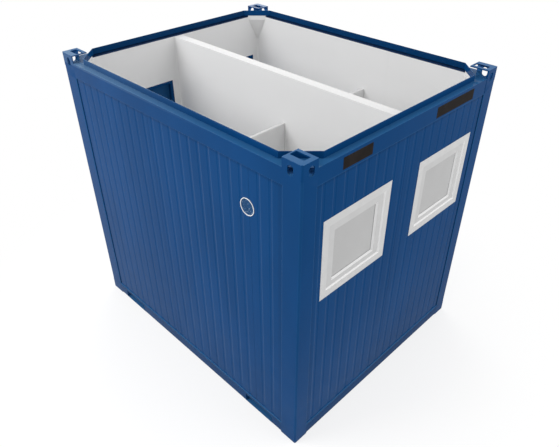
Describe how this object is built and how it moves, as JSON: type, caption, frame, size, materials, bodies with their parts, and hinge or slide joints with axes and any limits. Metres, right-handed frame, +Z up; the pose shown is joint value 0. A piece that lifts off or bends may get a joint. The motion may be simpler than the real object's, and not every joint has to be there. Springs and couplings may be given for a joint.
{
  "type": "toilet container",
  "caption": "Ten-foot steel-framed sanitary cabin without its roof: two rooms with a partition, cubicle walls, hinged doors, high windows and corner fittings.",
  "frame": {"origin": "centre of the footprint on the ground, under the four bottom corner fittings", "axes": "+Z up, +X along the length towards the window end, +Y along the width away from the side with the vent"},
  "size_m": [3.021, 2.435, 2.82],
  "materials": {
    "frame_paint": "satin blue paint",
    "wall_paint": "satin blue paint on ribbed sheet",
    "door_paint": "satin blue paint",
    "bare_steel": "dark primer",
    "floor_cover": "grey sheet flooring",
    "white_panel": "satin white",
    "white_plastic": "satin white",
    "frosted_glass": "obscured pane",
    "grille_plastic": "blue-grey",
    "lever_metal": "brushed"
  },
  "bodies": {
    "shell": {"post_door_vent": "frame_paint", "top_fitting_door_vent": "frame_paint", "bottom_fitting_door_vent": "frame_paint", "post_window_vent": "frame_paint", "top_fitting_window_vent": "frame_paint", "bottom_fitting_window_vent": "frame_paint", "post_window_plain": "frame_paint", "top_fitting_window_plain": "frame_paint", "bottom_fitting_window_plain": "frame_paint", "post_door_plain": "frame_paint", "top_fitting_door_plain": "frame_paint", "bottom_fitting_door_plain": "frame_paint", "corner_plates": "frame_paint", "top_rail_vent_side": "frame_paint", "bottom_rail_vent_side": "frame_paint", "top_rail_window_end": "frame_paint", "bottom_rail_window_end": "frame_paint", "top_rail_plain_side": "frame_paint", "bottom_rail_plain_side": "frame_paint", "top_rail_door_end": "frame_paint", "bottom_rail_door_end": "frame_paint", "fork_pocket_door": "frame_paint", "fork_pocket_window": "frame_paint", "floor_members": "bare_steel", "floor": "floor_cover", "wall_vent_side": "wall_paint", "vent_block": "wall_paint", "wall_plain_side": "wall_paint", "wall_window_end": "wall_paint", "wall_door_end_vent": "wall_paint", "wall_door_end_middle": "wall_paint", "wall_door_end_plain": "wall_paint", "wall_door_end_head": "wall_paint", "partition": "white_panel", "cubicle_wall_1": "white_panel", "cubicle_wall_2": "white_panel", "door_1_frame": "frame_paint", "window_frame_1": "white_plastic", "window_sash_1": "white_plastic", "window_pane_1": "frosted_glass", "door_2_frame": "frame_paint", "window_frame_2": "white_plastic", "window_sash_2": "white_plastic", "window_pane_2": "frosted_glass", "vent_collar": "white_plastic", "vent_grille": "grille_plastic"},
    "door_1": {"door_1_leaf": "door_paint", "door_1_handle": "lever_metal"},
    "door_2": {"door_2_leaf": "door_paint", "door_2_handle": "lever_metal"}
  },
  "joints": [
    {"name": "door_1_swing", "type": "hinge", "parent": "shell", "child": "door_1", "pos_m": [-1.4865, -0.9915, 1.2], "axis": [0, 0, 1], "range_deg": [0, 110]},
    {"name": "door_2_swing", "type": "hinge", "parent": "shell", "child": "door_2", "pos_m": [-1.4865, 0.175, 1.2], "axis": [0, 0, 1], "range_deg": [0, 110]}
  ]
}
